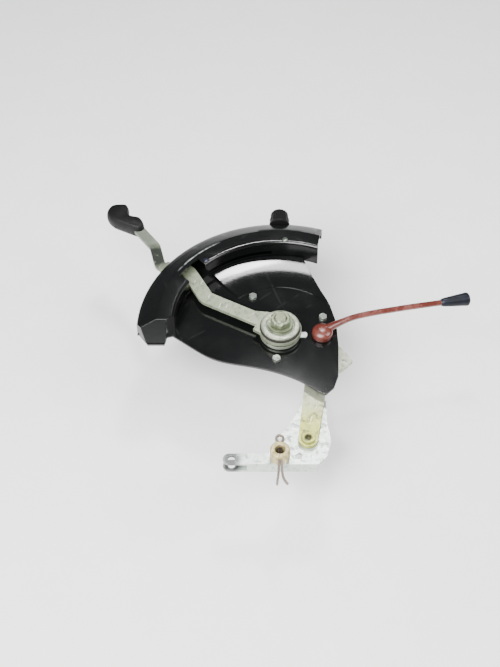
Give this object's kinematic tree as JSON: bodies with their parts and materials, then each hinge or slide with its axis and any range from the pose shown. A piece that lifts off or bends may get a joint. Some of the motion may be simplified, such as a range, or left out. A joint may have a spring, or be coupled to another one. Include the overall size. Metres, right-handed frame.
{
  "type": "hand control lever quadrant",
  "caption": "Lever quadrant with a gated throttle lever, a sliding stop, a rod-type selector lever and a hanging link for a control rod.",
  "frame": {"origin": "centre of the four mounting holes, on the rear mounting face, in line with the main pivot", "axes": "+Z out of the mounting face along the main pivot, +X towards the selector lever's knob, +Y from the pivot towards the sliding stop"},
  "size_m": [0.5042, 0.4642, 0.0723],
  "materials": {
    "black_paint": "gloss black enamel",
    "zinc_pale": "pale zinc plate with a faint green tint",
    "zinc_blue": "clear blue-white zinc plate",
    "zinc_yellow": "yellow zinc passivate",
    "brass_yellow": "dull yellow metal",
    "rusty_steel": "brown surface rust",
    "red_paint": "gloss red enamel",
    "dark_knob": "moulded dark grey plastic",
    "friction": "fibre friction lining",
    "bracket_paint": "satin black paint"
  },
  "bodies": {
    "quadrant": {"side_plate": "black_paint", "gate_channel": "black_paint", "channel_end_cap": "black_paint", "channel_screws": "zinc_blue", "pivot_tube": "zinc_blue", "pivot_bush": "zinc_pale", "rear_friction_disc": "friction", "tab_washer": "zinc_blue", "selector_tube": "zinc_blue", "selector_screw": "zinc_blue", "selector_screw_nut": "zinc_blue", "mounting_bracket": "bracket_paint", "bracket_bolts": "zinc_blue", "bracket_nuts": "zinc_blue"},
    "throttle_lever": {"lever_bar": "zinc_pale", "lever_knob": "dark_knob", "pivot_shaft": "zinc_pale", "front_friction_disc": "friction", "pressure_washer": "zinc_pale", "spring_washers": "zinc_pale", "hub_nut": "zinc_pale", "throttle_crank": "zinc_yellow", "crank_washer": "zinc_blue", "crank_nut": "zinc_blue"},
    "selector_lever": {"selector_boss": "red_paint", "selector_rod": "red_paint", "selector_knob": "dark_knob", "selector_shaft": "zinc_blue", "drop_arm": "zinc_yellow", "drop_arm_washer": "zinc_blue", "drop_arm_nut": "zinc_blue", "link_pin": "zinc_yellow", "link_pin_clip": "zinc_blue"},
    "floating_link": {"link_plate": "zinc_blue", "link_washer": "zinc_blue"},
    "swivel": {"swivel_boss": "brass_yellow", "swivel_washer": "zinc_blue", "swivel_split_pin": "rusty_steel"},
    "stop_slider": {"stop_shoe": "zinc_blue", "stop_stud": "zinc_blue"},
    "stop_knob": {"stop_knob": "dark_knob"}
  },
  "joints": [
    {"name": "throttle_swing", "type": "hinge", "parent": "quadrant", "child": "throttle_lever", "pos_m": [0, 0, 0.048], "axis": [0, 0, 1], "range_deg": [-38, 18]},
    {"name": "selector_swing", "type": "hinge", "parent": "quadrant", "child": "selector_lever", "pos_m": [0.056, -0.001, 0.034], "axis": [0, 0, 1], "range_deg": [-20, 20]},
    {"name": "link_swing", "type": "hinge", "parent": "selector_lever", "child": "floating_link", "pos_m": [0.033, -0.16, 0.019], "axis": [0, 0, 1], "range_deg": [-25, 25]},
    {"name": "swivel_turn", "type": "hinge", "parent": "floating_link", "child": "swivel", "pos_m": [-0.003, -0.1855, 0.021], "axis": [0, 0, 1], "continuous": true},
    {"name": "stop_travel", "type": "hinge", "parent": "quadrant", "child": "stop_slider", "pos_m": [0, 0, 0.0485], "axis": [0, 0, 1], "range_deg": [-8, 6]},
    {"name": "stop_knob_turn", "type": "hinge", "parent": "stop_slider", "child": "stop_knob", "pos_m": [0.00205, 0.19599, 0.0485], "axis": [0.0105, 0.9999, 0], "continuous": true}
  ]
}
